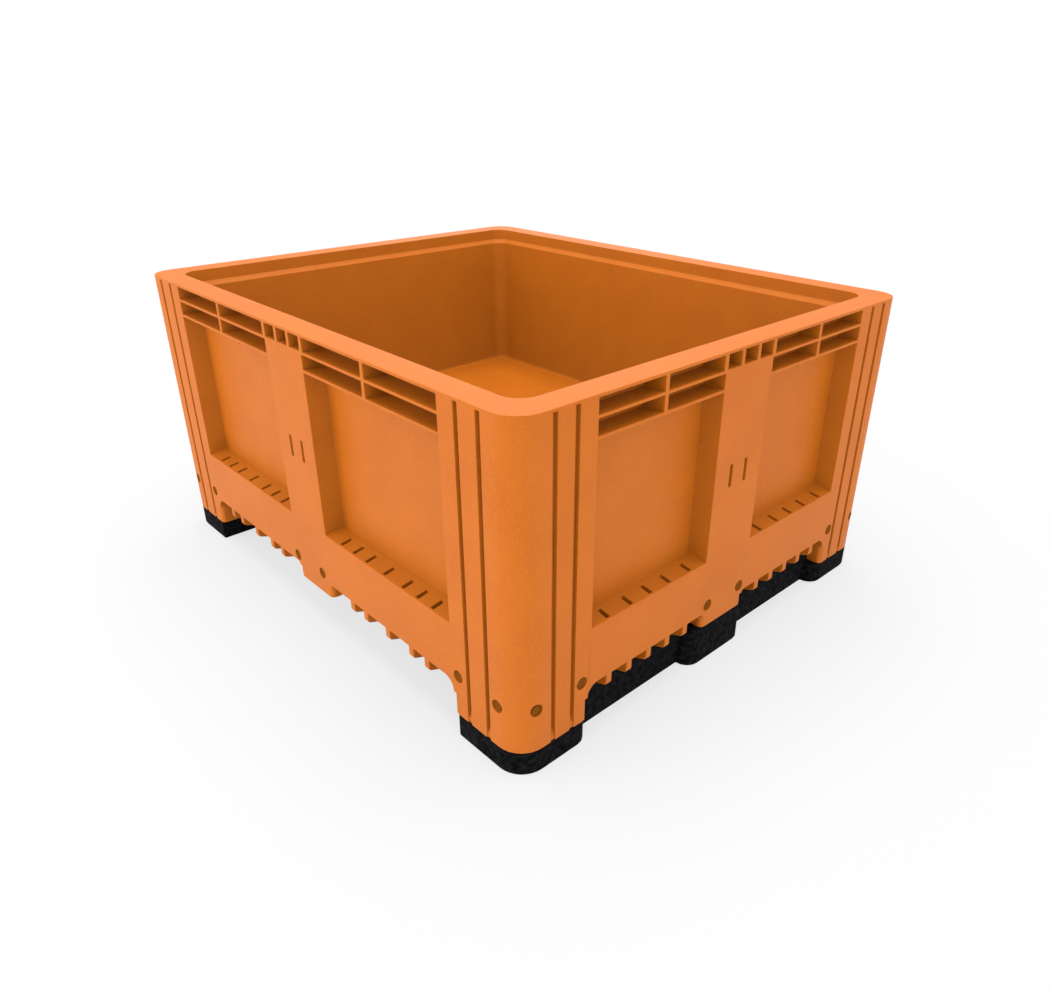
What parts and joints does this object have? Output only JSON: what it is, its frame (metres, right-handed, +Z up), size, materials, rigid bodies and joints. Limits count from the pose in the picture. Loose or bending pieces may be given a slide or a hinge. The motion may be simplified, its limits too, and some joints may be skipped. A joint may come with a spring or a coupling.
{
  "type": "pallet bin",
  "caption": "Solid-walled moulded pallet bin, open at the top, with recessed wall panels, hollow legs and black runners pinned under its short ends.",
  "frame": {"origin": "on the floor, under the middle of the bin", "axes": "+X along the long side, +Y along the short side and along the runners, +Z up"},
  "size_m": [1.2, 1, 0.595],
  "materials": {
    "orange_hdpe": "fine moulded texture",
    "black_recycled_plastic": "mottled, matt",
    "pin_plastic": "smooth moulded"
  },
  "bodies": {
    "root": {"bin_body": "orange_hdpe", "runner_right": "black_recycled_plastic", "runner_left": "black_recycled_plastic", "runner_pin_front_1": "pin_plastic", "runner_pin_front_2": "pin_plastic", "runner_pin_front_3": "pin_plastic", "runner_pin_front_4": "pin_plastic", "runner_pin_right_1": "pin_plastic", "runner_pin_right_2": "pin_plastic", "runner_pin_right_3": "pin_plastic", "runner_pin_right_4": "pin_plastic", "runner_pin_right_5": "pin_plastic", "runner_pin_right_6": "pin_plastic", "runner_pin_back_1": "pin_plastic", "runner_pin_back_2": "pin_plastic", "runner_pin_back_3": "pin_plastic", "runner_pin_back_4": "pin_plastic", "runner_pin_left_1": "pin_plastic", "runner_pin_left_2": "pin_plastic", "runner_pin_left_3": "pin_plastic", "runner_pin_left_4": "pin_plastic", "runner_pin_left_5": "pin_plastic", "runner_pin_left_6": "pin_plastic"}
  },
  "joints": []
}
